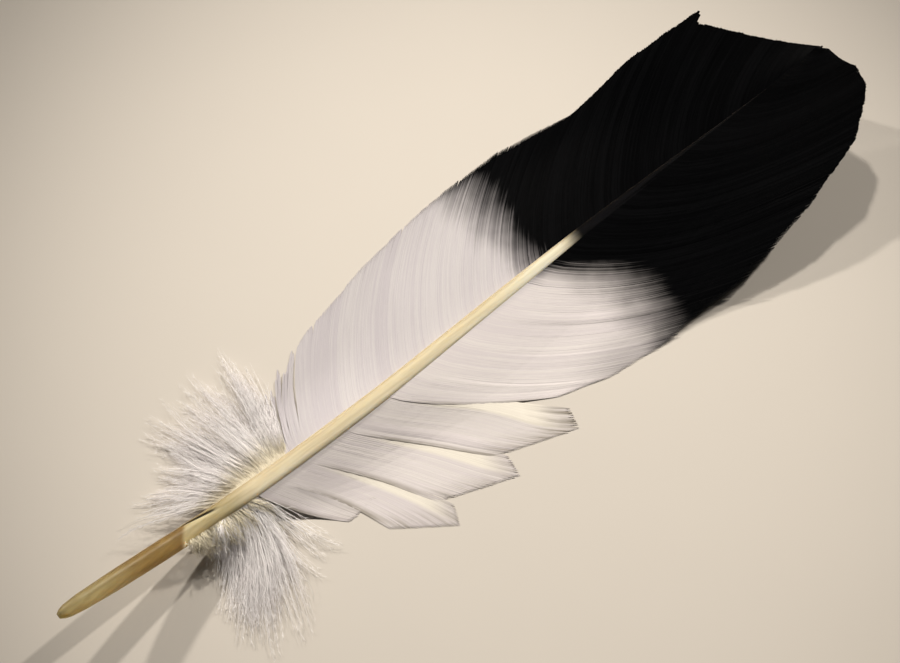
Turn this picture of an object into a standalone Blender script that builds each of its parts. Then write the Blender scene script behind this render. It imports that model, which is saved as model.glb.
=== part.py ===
"""A broad tail feather, white with a black end, that lies on a table with its hollow side up.

It has a shaft, a vane on each side of it, and a tuft of down on each side at the base. The right vane
has come apart into four locks near the base. The shaft arches clear of the table, and the feather
rests on the edges of its vanes and on the down.

Places on the feather are given in millimetres along the shaft from the quill's point (s), across it
from its middle line (t), and up from the table.
"""

import bmesh
import bpy
import numpy as np

MM = 0.001

# The shaft: how long it is, and how it arches over the table.
SHAFT_LENGTH = 310.0
LOWEST_FROM = 85.0
LOWEST_TO = 158.0
LOWEST_GAP = 1.2
QUILL_RISE = 16.5
TIP_RISE = 22.5

# The shaft's slow bends, left then right: where each is strongest, how far it reaches to both sides
# along the shaft, and how far it carries the middle line to the left.
BENDS = (
    (216.0, 98.0, 2.4),
    (95.0, 80.0, -1.0),
)

# Along the shaft, its width and its depth.
SHAFT_SECTIONS = (
    (0.0, 1.8, 1.5),
    (1.2, 3.4, 3.0),
    (3.0, 4.6, 4.0),
    (8.0, 5.7, 5.2),
    (20.0, 6.5, 6.0),
    (36.0, 6.7, 6.3),
    (60.0, 6.4, 6.0),
    (75.0, 6.3, 5.8),
    (110.0, 6.1, 5.5),
    (145.0, 5.8, 5.0),
    (175.0, 5.3, 4.4),
    (196.0, 4.7, 3.9),
    (215.0, 4.1, 3.3),
    (240.0, 3.3, 2.6),
    (265.0, 2.4, 1.9),
    (290.0, 1.5, 1.1),
    (304.0, 0.9, 0.7),
    (310.0, 0.5, 0.4),
)
SHAFT_SIDES = 16
ROUND_UNTIL = 50.0
BOXY_FROM = 75.0
ROUND_POWER = 2.0
BOXY_POWER = 2.6

# The pit where the hollow quill ends and the solid shaft begins, a little left of the top.
PIT_AT = 52.0
PIT_REACH = 6.0
PIT_DEPTH = 0.9
PIT_TURN = 1.0
PIT_SPREAD = 0.4

# The webs of barbs beside the shaft.
ROOT_GAP = 0.35
ATTACH_SHARE = 0.35
FUSED = 3.0
FUSED_SHARE = 0.12
ROW_SHARES = (0.26, 0.42, 0.58, 0.73, 0.88, 1.0)
FLAT_FROM = 0.88
ON_TABLE_UNTIL = 195.0
FREE_FROM = 270.0
RIDGE = 0.18
NOTCH = 1.3
RAGGED = 0.8
LEFT_VANE_WEB = {"thickness": 0.6, "tip_share": 0.7, "tip_droop": 3.0}
RIGHT_VANE_WEB = {"thickness": 0.6, "tip_share": 0.7, "tip_droop": 1.2}
DOWN_WEB = {"thickness": 4.4, "tip_share": 0.14, "tip_droop": 0.0}

# A barb line: where it leaves the shaft, its length, and its angle from the shaft at its root, at a
# third, at two thirds and at its tip, in degrees.
LEFT_VANE = (
    (88.0, 26.5, (73, 67, 61, 56)),
    (100.0, 36.5, (66, 61, 57, 52)),
    (120.0, 44.5, (62, 58, 53, 49)),
    (145.0, 49.5, (59, 55, 51, 47)),
    (175.0, 51.0, (57, 53, 49, 45)),
    (205.0, 46.0, (55, 51, 47, 43)),
    (225.0, 50.5, (52, 48, 44, 40)),
    (248.0, 53.0, (48, 44, 40, 36)),
    (262.0, 38.8, (45, 41, 36, 32)),
    (280.0, 24.0, (38, 34, 30, 26)),
    (294.0, 13.5, (31, 27, 24, 20)),
    (307.0, 5.0, (14, 11, 9, 7)),
)
LEFT_LOCKS = 30

RIGHT_VANE = (
    (123.0, 58.0, (45, 39, 34, 32)),
    (145.0, 59.5, (50, 46, 42, 38)),
    (160.0, 66.0, (49, 44, 39, 34)),
    (190.0, 69.5, (47, 41, 36, 31)),
    (220.0, 65.0, (43, 38, 33, 28)),
    (250.0, 57.0, (38, 33, 29, 25)),
    (262.0, 49.0, (36, 31, 27, 23)),
    (280.0, 33.0, (30, 27, 23, 20)),
    (294.0, 18.0, (24, 21, 18, 15)),
    (307.0, 6.0, (12, 10, 7, 5)),
)
RIGHT_LOCKS = 26

# The four locks that have come apart from the right vane, each by its first and last barb line.
SPLIT_LOCKS = (
    ((105.0, 50.0, (45, 44, 50, 48)), (123.0, 65.0, (45, 41, 58, 40))),
    ((89.0, 45.0, (48, 50, 60, 58)), (105.0, 60.0, (45, 50, 57, 52))),
    ((78.0, 40.0, (50, 52, 66, 72)), (89.0, 55.0, (48, 58, 62, 72))),
    ((70.5, 30.0, (58, 54, 48, 44)), (78.0, 27.5, (50, 60, 64, 62))),
)
SPLIT_RIDGES = 3

# The down: each line is the middle of one soft lock.
LEFT_DOWN = (
    (86.0, 34.0, (76, 76, 80, 84)),
    (84.0, 42.0, (82, 84, 88, 90)),
    (81.0, 45.0, (88, 92, 94, 90)),
    (77.5, 41.0, (96, 102, 106, 110)),
    (74.0, 42.0, (104, 110, 112, 106)),
    (71.0, 40.0, (110, 118, 122, 124)),
    (68.0, 33.0, (118, 124, 124, 118)),
    (65.0, 30.0, (126, 134, 138, 140)),
    (62.0, 31.0, (136, 146, 148, 144)),
    (59.0, 38.0, (146, 162, 166, 166)),
)
RIGHT_DOWN = (
    (68.0, 36.0, (74, 72, 70, 66)),
    (66.5, 41.0, (84, 86, 84, 80)),
    (65.0, 36.0, (94, 98, 100, 98)),
    (63.5, 47.0, (102, 108, 110, 106)),
    (61.5, 48.0, (110, 118, 118, 114)),
    (59.5, 43.0, (118, 126, 126, 120)),
    (57.5, 30.0, (130, 142, 142, 136)),
)
DOWN_HOLLOW = 0.56

IVORY = (0.83, 0.74, 0.50, 1.0)
WHITE = (0.80, 0.76, 0.72, 1.0)
DOWN_WHITE = (0.74, 0.70, 0.67, 1.0)


def smooth_step(share):
    """0 to 1, with no slope at either end."""
    share = np.clip(share, 0.0, 1.0)
    return share * share * (3.0 - 2.0 * share)


def shaft_size(s):
    """The shaft's width and depth at s."""
    along, width, depth = np.array(SHAFT_SECTIONS).T
    return np.interp(s, along, width), np.interp(s, along, depth)


def under_shaft(s):
    """The height of the shaft's underside: level where it is lowest, then a parabola to each end."""
    back = np.clip((LOWEST_FROM - s) / LOWEST_FROM, 0.0, None)
    ahead = np.clip((s - LOWEST_TO) / (SHAFT_LENGTH - LOWEST_TO), 0.0, None)
    return LOWEST_GAP + QUILL_RISE * back**2 + TIP_RISE * ahead**2


def sway(s):
    """How far the shaft's middle line lies to the left: a squared cosine for each bend."""
    left = np.zeros_like(s, float)
    for at, reach, amount in BENDS:
        turn = np.clip((s - at) / reach, -1.0, 1.0) * np.pi / 2
        left += amount * np.cos(turn) ** 2
    return left


def attach_height(s):
    """The height at which barbs leave the shaft."""
    return under_shaft(s) + ATTACH_SHARE * shaft_size(s)[1]


def web_height(s, v, thickness, tip_share, tip_droop):
    """The height of a web's middle at s, a share v along its barbs.

    Near the base the web's underside sinks to the table, and its edge lies flat on it. Towards the
    tip it is free, and only droops a little.
    """
    half = thickness / 2 * (1.0 + (tip_share - 1.0) * v)
    root = attach_height(s)
    lying = (root - thickness / 2) * (1.0 - smooth_step(v / FLAT_FROM)) + half
    free = root - tip_droop * v**2
    share = smooth_step((s - ON_TABLE_UNTIL) / (FREE_FROM - ON_TABLE_UNTIL))
    return lying + (free - lying) * share


def line_between(stations, root):
    """The barb line at root, between the nearest stations."""
    stations = sorted(stations)
    roots = [station[0] for station in stations]
    length = np.interp(root, roots, [station[1] for station in stations])
    angles = np.array([station[2] for station in stations], float).T
    return root, length, tuple(np.interp(root, roots, row) for row in angles)


def barb_points(line, side, web, relief=0.0):
    """Points along a barb line, from its root to its tip, as rows of x, y and z.

    The line turns steadily between its four angles. Its first stretch keeps the root's angle and
    height, so two lines with one root run together there, and the web is whole beside the shaft.
    """
    root, length, angles = line
    fused = min(FUSED, FUSED_SHARE * length)
    steps = np.linspace(0.0, length, 97)
    knots = fused + (length - fused) * np.arange(4) / 3
    middle = (steps[1:] + steps[:-1]) / 2
    turn = np.radians(np.interp(middle, knots, angles))
    along = root + np.concatenate([[0.0], np.cumsum(np.cos(turn) * np.diff(steps))])
    across = np.concatenate([[0.0], np.cumsum(np.sin(turn) * np.diff(steps))])
    v = np.array([0.0, 0.0, *ROW_SHARES])
    reach = fused + (length - fused) * v
    reach[0] = 0.0
    s = np.interp(reach, steps, along)
    t = shaft_size(root)[0] / 2 + ROOT_GAP + np.interp(reach, steps, across)
    swell = relief * np.clip(4 * v * (FLAT_FROM - v) / FLAT_FROM**2, 0.0, None)
    z = web_height(s, v, **web) + swell
    return np.stack([s, sway(s) + side * t, z], axis=1)


def ridged_lines(stations, ridges, ragged):
    """Barb lines with their relief: hollows and ridges by turns, the hollows a little shorter."""
    roots = np.linspace(min(stations)[0], max(stations)[0], 2 * ridges + 1)
    lines = []
    for number, root in enumerate(roots):
        _, length, angles = line_between(stations, root)
        on_ridge = number % 2 == 1
        if on_ridge:
            length += ragged.uniform(-RAGGED, RAGGED) * min(1.0, length / 20)
        else:
            length -= min(NOTCH, 0.12 * length)
        lines.append(((root, length, angles), RIDGE if on_ridge else -RIDGE))
    return lines


def tuft_lines(stations):
    """The middle line of each soft lock, and a short line in the hollow between two locks."""
    lines = [stations[0]]
    for before, after in zip(stations, stations[1:]):
        angles = tuple((a + b) / 2 for a, b in zip(before[2], after[2]))
        hollow = DOWN_HOLLOW * (before[1] + after[1]) / 2
        lines.append(((before[0] + after[0]) / 2, hollow, angles))
        lines.append(after)
    return lines


def add_sheet(bm, points):
    """Adds a grid of faces through points, an array of lines by rows by x, y and z."""
    lines, rows = points.shape[0] - 1, points.shape[1] - 1
    made = bmesh.ops.create_grid(bm, x_segments=lines, y_segments=rows, size=1.0)
    for vertex in made["verts"]:
        line = round((vertex.co.x + 1) / 2 * lines)
        row = round((vertex.co.y + 1) / 2 * rows)
        vertex.co = points[line, row] * MM


def finish_object(name, bm, material):
    """Makes an object of the mesh, welded and facing out, and links it to the feather."""
    bmesh.ops.remove_doubles(bm, verts=bm.verts, dist=1e-6)
    bmesh.ops.recalc_face_normals(bm, faces=bm.faces)
    mesh = bpy.data.meshes.new(name)
    bm.to_mesh(mesh)
    bm.free()
    mesh.materials.append(material)
    made = bpy.data.objects.new(name, mesh)
    bpy.data.collections["eagle_feather"].objects.link(made)
    return made


def plain_material(name, colour, roughness):
    """A Principled BSDF with one colour."""
    material = bpy.data.materials.new(name)
    material.use_nodes = True
    shader = material.node_tree.nodes["Principled BSDF"]
    shader.inputs["Base Color"].default_value = colour
    shader.inputs["Roughness"].default_value = roughness
    shader.inputs["Metallic"].default_value = 0.0
    material.diffuse_color = colour
    return material


def make_shaft(material):
    """The shaft: round at the quill, boxy beyond the pit, and drawn out to a thin end."""
    along = np.unique(np.concatenate([
        [row[0] for row in SHAFT_SECTIONS],
        np.arange(PIT_AT - 8.0, PIT_AT + 9.0, 4.0),
        np.arange(90.0, SHAFT_LENGTH, 12.0),
    ]))
    width, depth = shaft_size(along)
    power = ROUND_POWER + (BOXY_POWER - ROUND_POWER) * smooth_step(
        (along - ROUND_UNTIL) / (BOXY_FROM - ROUND_UNTIL)
    )
    turn = (np.arange(SHAFT_SIDES + 1) % SHAFT_SIDES + 0.5) * 2 * np.pi / SHAFT_SIDES
    squash = 2.0 / power[:, None]
    side = np.sign(np.cos(turn)) * np.abs(np.cos(turn)) ** squash
    top = np.sign(np.sin(turn)) * np.abs(np.sin(turn)) ** squash
    pit = np.exp(-(((along - PIT_AT) / PIT_REACH) ** 2))[:, None]
    pit = pit * np.exp(-(((turn - PIT_TURN) / PIT_SPREAD) ** 2))
    x = np.repeat(along[:, None], SHAFT_SIDES + 1, axis=1)
    y = sway(along)[:, None] + side * width[:, None] / 2
    z = (under_shaft(along) + depth / 2)[:, None] + top * depth[:, None] / 2 - PIT_DEPTH * pit
    bm = bmesh.new()
    add_sheet(bm, np.stack([x, y, z], axis=2))
    bmesh.ops.remove_doubles(bm, verts=bm.verts, dist=1e-6)
    bmesh.ops.holes_fill(bm, edges=[edge for edge in bm.edges if edge.is_boundary], sides=0)
    shaft = finish_object("shaft", bm, material)
    shaft.data.shade_smooth()
    return shaft


def thicken(piece, marks, web):
    """Gives the piece its thickness, full at the shaft and thinner towards the tips."""
    group = piece.vertex_groups.new(name="thickness")
    for vertex in piece.data.vertices:
        away = np.linalg.norm(marks[:, :3] - np.array(vertex.co) / MM, axis=1)
        share = marks[away.argmin(), 3]
        group.add([vertex.index], 1.0 + (web["tip_share"] - 1.0) * share, "REPLACE")
    solid = piece.modifiers.new("thickness", "SOLIDIFY")
    solid.thickness = web["thickness"] * MM
    solid.offset = 0.0
    solid.vertex_group = "thickness"
    piece.data.shade_flat()


def make_web(name, sheets, material, web):
    """A web of barbs: its sheets, joined where they share a root, and thickened."""
    bm = bmesh.new()
    for points in sheets:
        add_sheet(bm, points)
    piece = finish_object(name, bm, material)
    shares = np.array([0.0, 0.0, *ROW_SHARES])
    marks = [np.column_stack([line, shares]) for points in sheets for line in points]
    thicken(piece, np.concatenate(marks), web)
    return piece


def vane_sheet(stations, ridges, side, web, ragged):
    """The points of one unbroken stretch of a vane."""
    lines = ridged_lines(stations, ridges, ragged)
    return np.array([barb_points(line, side, web, relief) for line, relief in lines])


def make_left_vane(material):
    """The left vane, whole from base to tip."""
    ragged = np.random.default_rng(3)
    sheet = vane_sheet(LEFT_VANE, LEFT_LOCKS, 1.0, LEFT_VANE_WEB, ragged)
    return make_web("left_vane", [sheet], material, LEFT_VANE_WEB)


def make_right_vane(material):
    """The right vane and the four locks that have come apart from it, joined beside the shaft."""
    ragged = np.random.default_rng(5)
    sheets = [vane_sheet(RIGHT_VANE, RIGHT_LOCKS, -1.0, RIGHT_VANE_WEB, ragged)]
    for lock in SPLIT_LOCKS:
        sheets.append(vane_sheet(lock, SPLIT_RIDGES, -1.0, RIGHT_VANE_WEB, ragged))
    return make_web("right_vane", sheets, material, RIGHT_VANE_WEB)


def make_down(name, stations, side, material):
    """A tuft of down: soft locks that fan out from the shaft and sink to the table."""
    lines = tuft_lines(stations)
    sheet = np.array([barb_points(line, side, DOWN_WEB) for line in lines])
    return make_web(name, [sheet], material, DOWN_WEB)


def stand_on_origin(pieces):
    """Moves the pieces, through one empty, so that the box round them stands on the origin."""
    graph = bpy.context.evaluated_depsgraph_get()
    corners = []
    for piece in pieces:
        mesh = piece.evaluated_get(graph).to_mesh()
        corners.extend(np.array(vertex.co) for vertex in mesh.vertices)
    low, high = np.min(corners, axis=0), np.max(corners, axis=0)
    carrier = bpy.data.objects.new("feather_frame", None)
    bpy.data.collections["eagle_feather"].objects.link(carrier)
    carrier.location = (-(low[0] + high[0]) / 2, -(low[1] + high[1]) / 2, -low[2])
    for piece in pieces:
        piece.parent = carrier


def clear_scene():
    """Removes what the scene holds and adds the feather's collection."""
    for old in list(bpy.data.objects):
        bpy.data.objects.remove(old)
    home = bpy.data.collections.new("eagle_feather")
    bpy.context.scene.collection.children.link(home)


def main():
    clear_scene()
    horn = plain_material("horn", IVORY, 0.35)
    barbs = plain_material("barbs", WHITE, 0.6)
    fluff = plain_material("fluff", DOWN_WHITE, 0.9)
    stand_on_origin([
        make_shaft(horn),
        make_left_vane(barbs),
        make_right_vane(barbs),
        make_down("left_down", LEFT_DOWN, 1.0, fluff),
        make_down("right_down", RIGHT_DOWN, -1.0, fluff),
    ])


main()
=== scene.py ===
"""The looks of a broad white and black tail feather: its horn shaft, its barbs one by one, and its down.

Places on the feather are in millimetres: s along the shaft from the quill's point, t across it from
its middle line (left is positive), and z up from the table.
"""

import math

import bpy
import numpy as np
from mathutils import Matrix, Vector


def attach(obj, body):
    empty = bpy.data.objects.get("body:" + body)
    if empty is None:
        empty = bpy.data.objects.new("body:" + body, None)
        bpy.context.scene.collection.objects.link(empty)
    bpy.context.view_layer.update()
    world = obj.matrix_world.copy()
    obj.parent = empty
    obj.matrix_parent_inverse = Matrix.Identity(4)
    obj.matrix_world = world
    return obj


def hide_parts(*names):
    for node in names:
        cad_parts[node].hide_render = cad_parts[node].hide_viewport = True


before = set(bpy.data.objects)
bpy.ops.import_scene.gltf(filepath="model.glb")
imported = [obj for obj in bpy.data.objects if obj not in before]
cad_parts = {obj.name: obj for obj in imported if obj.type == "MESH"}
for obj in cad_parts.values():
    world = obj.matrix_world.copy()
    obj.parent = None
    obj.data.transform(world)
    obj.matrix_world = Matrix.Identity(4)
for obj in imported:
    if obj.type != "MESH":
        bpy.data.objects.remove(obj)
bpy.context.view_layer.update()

bl_info = {
    "name": "Tail feather",
    "version": (1, 0, 0),
    "blender": (4, 5, 0),
    "location": "View3D > Sidebar > Feather",
    "description": "Builds a white and black tail feather barb by barb",
    "category": "Add Mesh",
}

MM = 0.001

# The shaft's form, as the solid shaft has it: its length, and its arch over the table.
SHAFT_LENGTH = 310.0
LOWEST_FROM = 85.0
LOWEST_TO = 158.0
LOWEST_GAP = 1.2
QUILL_RISE = 16.5
TIP_RISE = 22.5
# Its bends: where each is strongest, how far it reaches, and how far it carries the shaft to the left.
BENDS = ((216.0, 98.0, 2.4), (95.0, 80.0, -1.0))
# Along the shaft, its width and its depth.
SHAFT_SECTIONS = (
    (0.0, 1.8, 1.5),
    (1.2, 3.4, 3.0),
    (3.0, 4.6, 4.0),
    (8.0, 5.7, 5.2),
    (20.0, 6.5, 6.0),
    (36.0, 6.7, 6.3),
    (60.0, 6.4, 6.0),
    (75.0, 6.3, 5.8),
    (110.0, 6.1, 5.5),
    (145.0, 5.8, 5.0),
    (175.0, 5.3, 4.4),
    (196.0, 4.7, 3.9),
    (215.0, 4.1, 3.3),
    (240.0, 3.3, 2.6),
    (265.0, 2.4, 1.9),
    (290.0, 1.5, 1.1),
    (304.0, 0.9, 0.7),
    (310.0, 0.5, 0.4),
)

# The fine shaft's rings and sides; how far it stands to the right, as a share of its width; its power as a
# superellipse, round at the quill and boxy beyond it; its ribs; and the pit, whose turn slants over its top.
SHAFT_RINGS = 420
SHAFT_SIDES = 96
SHAFT_ASIDE = 0.075
ROUND_POWER = 2.0
BOXY_POWER = 3.8
BOXY_SPAN = (50.0, 75.0)
RIBS = 17
RIB_HEIGHT = 0.006
RIBS_SPAN = (60.0, 90.0)
PIT_AT = 50.0
PIT_REACH = 7.8
PIT_SPREAD = 0.19
PIT_TURN_AT = 46.0
PIT_TURN = 0.45
PIT_SLANT = 0.07

# A barb line: where it leaves the shaft, its length, and its angle from the shaft at its root, at a
# third, at two thirds and at its tip, in degrees.
LEFT_VANE = (
    (86.2, 25.5, (75, 69, 62, 57)),
    (100.0, 36.5, (66, 61, 57, 52)),
    (120.0, 44.5, (62, 58, 53, 49)),
    (145.0, 49.5, (59, 55, 51, 47)),
    (175.0, 51.0, (57, 53, 49, 45)),
    (205.0, 46.0, (55, 51, 47, 43)),
    (213.0, 48.2, (54, 50, 46, 42)),
    (225.0, 52.2, (52, 48, 44, 40)),
    (240.0, 54.8, (49, 45, 41, 37)),
    (244.0, 55.3, (48, 44, 40, 36)),
    (246.5, 56.0, (48, 44, 39, 35)),
    (248.2, 55.9, (47, 43, 38, 34)),
    (249.0, 50.6, (47, 43, 39, 35)),
    (262.0, 39.4, (45, 41, 36, 32)),
    (280.0, 24.9, (38, 34, 30, 26)),
    (294.0, 13.9, (31, 27, 24, 20)),
    (306.0, 4.8, (22, 20, 18, 16)),
    (309.8, 1.6, (16, 14, 12, 10)),
)
RIGHT_VANE = (
    (123.0, 58.0, (45, 39, 34, 32)),
    (145.0, 59.5, (50, 46, 42, 38)),
    (160.0, 66.0, (49, 44, 39, 34)),
    (190.0, 69.5, (47, 41, 36, 31)),
    (220.0, 65.0, (43, 38, 33, 28)),
    (250.0, 57.0, (38, 33, 29, 25)),
    (262.0, 50.4, (36, 31, 27, 23)),
    (272.0, 43.6, (34, 30, 26, 23)),
    (280.0, 37.6, (34, 31, 28, 25)),
    (294.0, 23.6, (34, 32, 30, 28)),
    (303.0, 11.0, (38, 36, 34, 32)),
    (308.5, 3.6, (38, 36, 34, 32)),
)
# The locks that have come apart from the right vane. Each reaches under the web ahead of it.
SPLIT_LOCKS = (
    ((105.0, 50.0, (45, 44, 50, 48)), (123.0, 65.0, (45, 41, 58, 40)), (127.0, 58.0, (44, 40, 48, 40))),
    ((89.0, 45.0, (48, 50, 60, 58)), (105.0, 60.0, (45, 50, 57, 52)), (109.0, 52.0, (45, 46, 53, 50))),
    ((78.0, 40.0, (50, 52, 66, 72)), (89.0, 55.0, (48, 58, 62, 72)), (93.0, 48.0, (48, 54, 60, 66))),
    ((70.5, 30.0, (58, 54, 48, 44)), (78.0, 28.5, (50, 58, 62, 60)), (86.0, 28.0, (50, 54, 60, 62))),
)
# For each lock: how much darker, in streaks, its tip is, from which share of its barbs, and how far it lies
# below the web ahead of it.
LOCK_TIP_DARKENING = ((0.9, 0.7), (0.6, 0.75), (0.7, 0.7), (0.4, 0.5))
LOCK_DEPTHS = (0.14, 0.2, 0.2, 0.2)
# How much darker a whole lock is, and the least share of its tip's darkening that a barb gets; the width and
# darkness of the painted shadow along a web's rear edge, behind a slit; how far a lock reaches under the next
# web; the width of the painted highlight on the cream rim that it shows before it; and along which share of a
# barb both are painted.
LOCK_DARKENING = 0.12
LEAST_TIP_DARKENING = 0.2
SLIT_SHADE = 2.4
SLIT_PAINTED_SHADOW = 0.75
OVERLAP_LOCKS = 4.0
SLIT_HIGHLIGHT_WIDTH = 1.6
SLIT_FROM = 0.3
SLIT_UNTIL = 0.75

# The middle lines of the down's wisps.
LEFT_DOWN = (
    (86.0, 34.0, (76, 76, 80, 84)),
    (84.0, 42.0, (82, 84, 88, 90)),
    (81.0, 45.0, (88, 92, 94, 90)),
    (77.5, 41.0, (96, 102, 106, 110)),
    (74.0, 42.0, (104, 110, 112, 106)),
    (71.0, 40.0, (110, 118, 122, 124)),
    (68.0, 33.0, (118, 124, 124, 118)),
    (65.0, 30.0, (126, 134, 138, 140)),
    (62.0, 31.0, (136, 146, 148, 144)),
    (59.0, 38.0, (146, 162, 166, 166)),
)
RIGHT_DOWN = (
    (71.0, 37.0, (84, 74, 64, 56)),
    (69.0, 38.0, (88, 96, 104, 98)),
    (67.5, 46.0, (95, 106, 116, 112)),
    (65.0, 51.0, (101, 113, 122, 118)),
    (62.5, 47.0, (108, 120, 128, 124)),
    (60.0, 33.0, (116, 128, 134, 130)),
    (57.0, 15.0, (124, 132, 138, 138)),
)
# The short fuzz on the right of the quill's end, painted olive all over as painted shade where the quill's
# yellowish shadow falls.
BASE_FUZZ = (
    (45.0, 6.0, (84, 92, 98, 100)),
    (49.0, 10.0, (86, 94, 100, 104)),
    (54.0, 13.0, (84, 92, 100, 106)),
    (59.0, 15.0, (78, 88, 98, 104)),
    (64.0, 16.0, (70, 78, 84, 88)),
    (70.0, 15.0, (60, 62, 64, 66)),
)

# How many of a tuft's wisps grow near each of its lines.
LEFT_CROWD = (2.0, 1.4, 1.1, 1.1, 1.2, 1.2, 1.0, 0.8, 0.6, 0.5)
RIGHT_CROWD = (0.4, 0.6, 1.2, 1.6, 1.3, 0.7, 0.6)
FUZZ_CROWD = (0.3, 0.35, 0.35, 0.3, 0.3, 0.2)
FULL_CROWD = 8.0

# How much darker and yellower the left down is at its roots, and up to which share of a hair.
ROOT_TINT = 0.9
TINTED_UNTIL = 0.3

# How the webs hang, as in the solids: a tip's droop where the web is free; where on the shaft's depth it
# starts; half its thickness, and the share of that at its tip; and where it lies flat, as a share of its
# barbs, or near the base as a distance from the shaft. A span goes from one place on the shaft to another.
LEFT_DROOP = 3.0
RIGHT_DROOP = 1.2
ATTACH_SHARE = 0.35
WEB_HALF = 0.3
WEB_TIP_SHARE = 0.7
FLAT_FROM = 0.88
BASE_FLAT_FROM = 20.0
BASE_SPAN = (115.0, 150.0)
FREE_SPAN = (195.0, 270.0)

# How much higher a web stands beside the shaft, as a share of the shaft's depth; how far from the shaft;
# and from where along it.
LEFT_COLLAR = (0.22, 10.0, 88.0)
RIGHT_COLLAR = (0.66, 24.0, 58.0)
COLLAR_FADE = 12.0
COLLAR_POWER = 1.4
DOWN_COLLAR = 0.7
DOWN_REACH = 14.0

# Barbs: their rings and sides; how far under the shaft's edge they start, with the first ring further in;
# and the length, or share of it, that they stay together for.
BARB_RINGS = 15
BARB_SIDES = 4
PATH_SUBSTEPS = 4
RING_CROWDING = 1.25
ROOT_GAP = -0.45
ROOT_TUCK = 0.9
FUSED = 3.0
FUSED_SHARE = 0.12
FEWEST_BARBS = 8
ROOT_JITTER = 0.5
SHORT_BARB = 30.0
UV_UNIT = 100.0
# How far ahead of its own line a barb ends, halfway along its web.
LEFT_SWEEP = 12.0
RIGHT_SWEEP = 27.0
SWEEP_POWER = 2.5
# How clumps part from one another, and where the partings close; how a clump comes to a point, is drawn
# together and is ridged; and how uneven clumps and barbs are in length, angle and height.
PARTING_SHAPE = (0.5, 2.2)
PARTING_SCALE = 2.5
PARTING_CLOSED = 0.6
PARTING_SPAN = (150.0, 190.0)
CLUMP_POINT = 1.6
CLUMP_DRAW = 0.5
CLUMP_RIDGE = 0.5
CLUMP_UNEVEN = 0.14
BARB_UNEVEN = 0.1
CLUMP_TURN = 0.2
CLUMP_LEAN = 0.05
BARB_LOOSE = 0.05
# How far a web's rear edge is lifted, and over what width on the whole vane; how far from the shaft a lock
# is fully sunk; how far a barb's tip sinks; and the least height of its middle.
REAR_LIFT = 0.15
VANE_LIFT_REACH = 14.0
SUNK_REACH = 6.0
TIP_SINK = 0.1
LOWEST_BARB = 0.12
# A barb's width: the least and the most distance to the next one; how far its end opens and points, in the
# white and in the black; and how thin a frayed end is. On the right a barb rolls the other way.
GAP_LIMITS = (0.12, 0.9)
END_OPENING = 0.2
END_OPENS_FROM = 0.94
WHITE_POINT = 0.6
BLACK_POINT = 0.1
POINTED_FROM = 0.97
BLACK_SPAN = (170.0, 210.0)
FRAY_THINNER = 0.35
FRAYED_FROM = 0.86
FRAYED_SPAN = (160.0, 190.0)
RIGHT_TILT = -0.2
# The fluffy barbs on the left, next to the down.
FLUFFY_SPAN = (87.0, 97.0)
FLUFF_SHORTER = 0.22
FLUFF_TURN = 4.0
FLUFF_RISE = 0.5
FLUFF_THINNER = 0.4
# How far a barb's and its clump's tone and dye are from the others'.
TONE_SCATTER = 0.6
BARB_DYE = 0.8
CLUMP_DYE = 0.5

# How wisps of down differ: their turn and bends, in degrees; how much shorter they are between two lines;
# and the least and the most of their length, wave, turns of the wave and girth. Their height is a gamma.
WISP_TURN = 5.0
WISP_BEND = 4.0
WISP_FALL = 0.2
WISP_LENGTHS = (0.8, 1.12)
WISP_WAVES = (0.2, 1.4)
WAVE_TURNS = (2.5, 7.0)
WISP_HEIGHTS = (2.0, 0.9)
WISP_GIRTHS = (0.7, 2.2)
WISP_TONE = 0.8
# How the hairs of a wisp differ in root, length, bend, place, crimp, height, curl, roll and tone.
HAIR_ROOT = 0.7
HAIR_SHORTER = 0.13
HAIR_BEND = 1.6
HAIR_ASIDE = 0.5
HAIR_CRIMP = 0.16
CRIMP_TURNS = 19.0
CRIMP_PHASE = 6.3
HAIR_TUCK = 0.5
HAIR_PUFF = 0.35
PUFF_SHARE = 0.75
HAIR_CURL = 0.8
HAIR_ROLL = 0.3
HAIR_TONE = 0.6
# A hair's sides, its width and height as shares of its thickness, its taper, and its least height.
HAIR_SIDES = 3
HAIR_WIDE = 1.3
HAIR_HIGH = 0.4
HAIR_TAPER = 0.8
TAPER_POWER = 1.5
LOWEST_HAIR = 0.1
# Barbules: where they grow along a hair, the range of their length, how much shorter they are at a hair's
# tip, how they splay and rise, and their thickness at their root, middle and tip.
BARBULE_PLACES = (0.05, 0.97)
BARBULE_SIZES = (0.4, 1.2)
BARBULE_SHORTER = 0.6
BARBULE_SPLAY = (0.25, 0.8)
BARBULE_RISE = 0.25
BARBULE_MIDDLE = 0.5
BARBULE_HOOK = 0.85
BARBULE_ONWARD = 0.25
BARBULE_TAPER = (0.75, 0.6, 0.15)

# The dye's edge, in metres from the middle line and along the shaft: how far it slants on the right and
# over what width; how it leans on the left, and turns back along the rim; how uneven it is; how it softens
# away from the shaft on each side; and where, and how much, dye is rubbed off on the right.
DYE_SLANT = 0.0215
DYE_SLANT_WIDTH = 0.0265
DYE_LEAN = 0.04
DYE_RIM = (0.0395, 0.0485)
DYE_RIM_BACK = 0.014
DYE_CLOUDS = 90.0
DYE_UNEVEN = 0.008
LEFT_SOFTENING = 0.3
RIGHT_SOFTENING = 0.55
RUBBED_ACROSS = (-0.042, -0.026)
RUBBED_ALONG = (0.166, 0.194)
RUBBED = 0.42

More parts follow.
